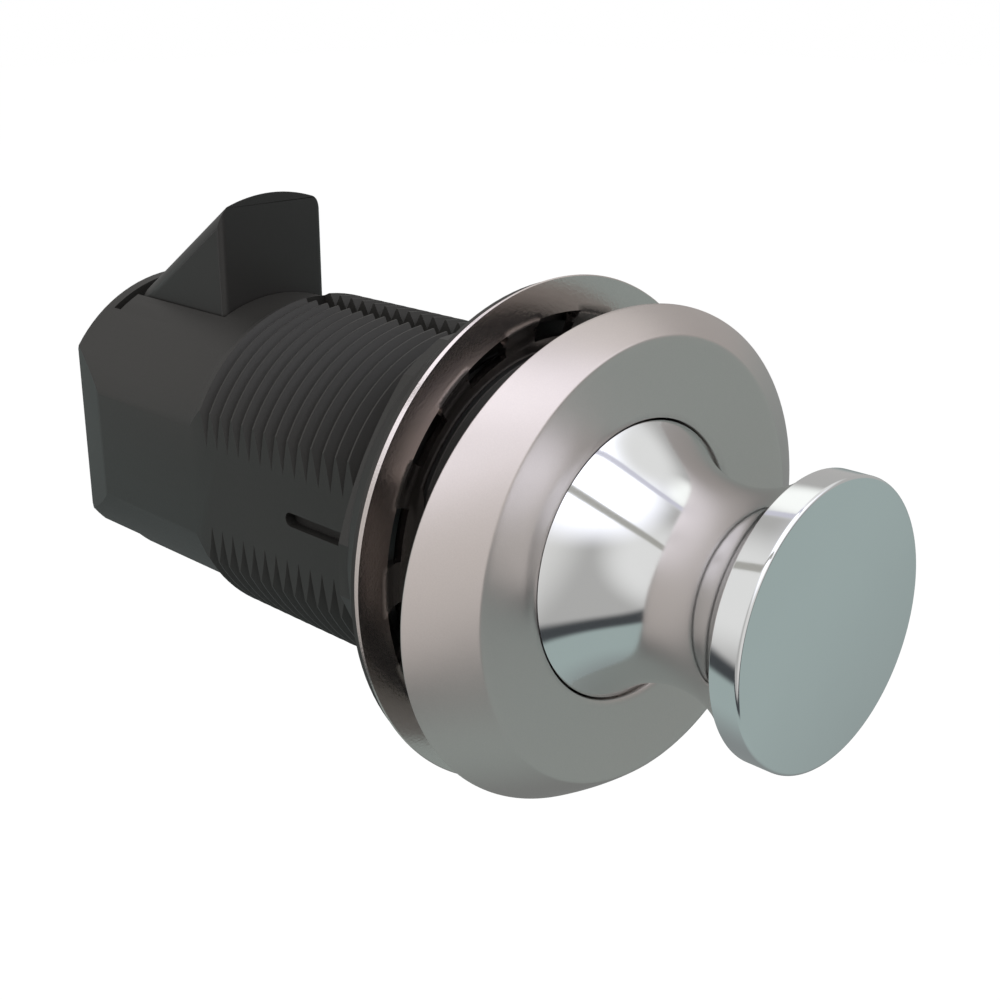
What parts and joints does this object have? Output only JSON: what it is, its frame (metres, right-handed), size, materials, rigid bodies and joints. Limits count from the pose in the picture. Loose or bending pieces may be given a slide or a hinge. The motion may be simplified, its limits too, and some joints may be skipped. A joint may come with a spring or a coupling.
{
  "type": "push-to-close knob latch",
  "caption": "Round push-to-close knob latch: chrome pull knob in an oval bezel with a round face, threaded barrel with trim ring and lock nut, and a sprung wedge bolt that a cam draws in.",
  "frame": {"origin": "On the axis of the knob and barrel, in the panel's hole, 5 mm behind the plane where the bezel seats on the outside of the panel", "axes": "+Y runs along the barrel from the panel to the inside of the door, the knob is on the -Y side, +Z is the side the bolt stands out of, +X completes the frame"},
  "size_m": [0.0552, 0.0974, 0.0544],
  "materials": {
    "chrome": "polished mirror chrome",
    "satin_chrome": "satin chrome with a fine dull sheen",
    "ring_chrome": "satin chrome, smoother than the bezel's",
    "black_plastic": "black moulded plastic, satin",
    "black_bolt": "black self-lubricating plastic, smooth satin",
    "steel": "plain machined steel",
    "spring_steel": "drawn spring wire",
    "die_cast": "die-cast zinc, as cast",
    "zinc_screw": "zinc-plated steel screws",
    "black_steel": "blackened spring steel",
    "acetal": "natural acetal, smooth",
    "rubber": "black rubber"
  },
  "bodies": {
    "housing": {"body": "black_plastic", "bezel": "satin_chrome", "bezel_clip": "black_steel", "gasket": "rubber", "guide_plate": "die_cast", "plate_clip": "black_steel", "guide_bush": "acetal", "return_spring": "spring_steel", "end_cap": "black_plastic", "cap_screws": "zinc_screw", "bottom_cover": "black_plastic", "cover_screws": "zinc_screw", "bolt_springs": "spring_steel"},
    "pull": {"knob": "chrome", "jam_nut": "zinc_screw", "stem": "steel", "retaining_clip": "black_steel", "stop_washer": "rubber", "slider": "die_cast", "cross_pin": "steel"},
    "latch_bolt": {"bolt": "black_bolt", "bolt_pin": "steel"},
    "clamp_ring": {"trim_ring": "ring_chrome"},
    "clamp_nut": {"lock_nut": "black_plastic"}
  },
  "joints": [
    {"name": "knob_pull", "type": "slide", "parent": "housing", "child": "pull", "axis": [0, -1, 0], "range_m": [0, 0.009], "stiffness_N_per_m": 400, "springref_m": -0.015, "deforming": ["return_spring"]},
    {"name": "bolt_draw", "type": "slide", "parent": "housing", "child": "latch_bolt", "axis": [0, 0, -1], "range_m": [0, 0.0108], "stiffness_N_per_m": 150, "springref_m": -0.01, "deforming": ["bolt_springs"]},
    {"name": "ring_slide", "type": "slide", "parent": "housing", "child": "clamp_ring", "axis": [0, 1, 0], "range_m": [-0.003, 0.02]},
    {"name": "nut_turn", "type": "hinge", "parent": "clamp_ring", "child": "clamp_nut", "pos_m": [0, 0.004, 0], "axis": [0, 1, 0], "range_deg": [-570, 3795]}
  ],
  "couplings": [
    {"joint": "bolt_draw", "follows": "knob_pull", "ratio": 1.2},
    {"joint": "nut_turn", "follows": "ring_slide", "rad_per_m": 3306.9}
  ]
}
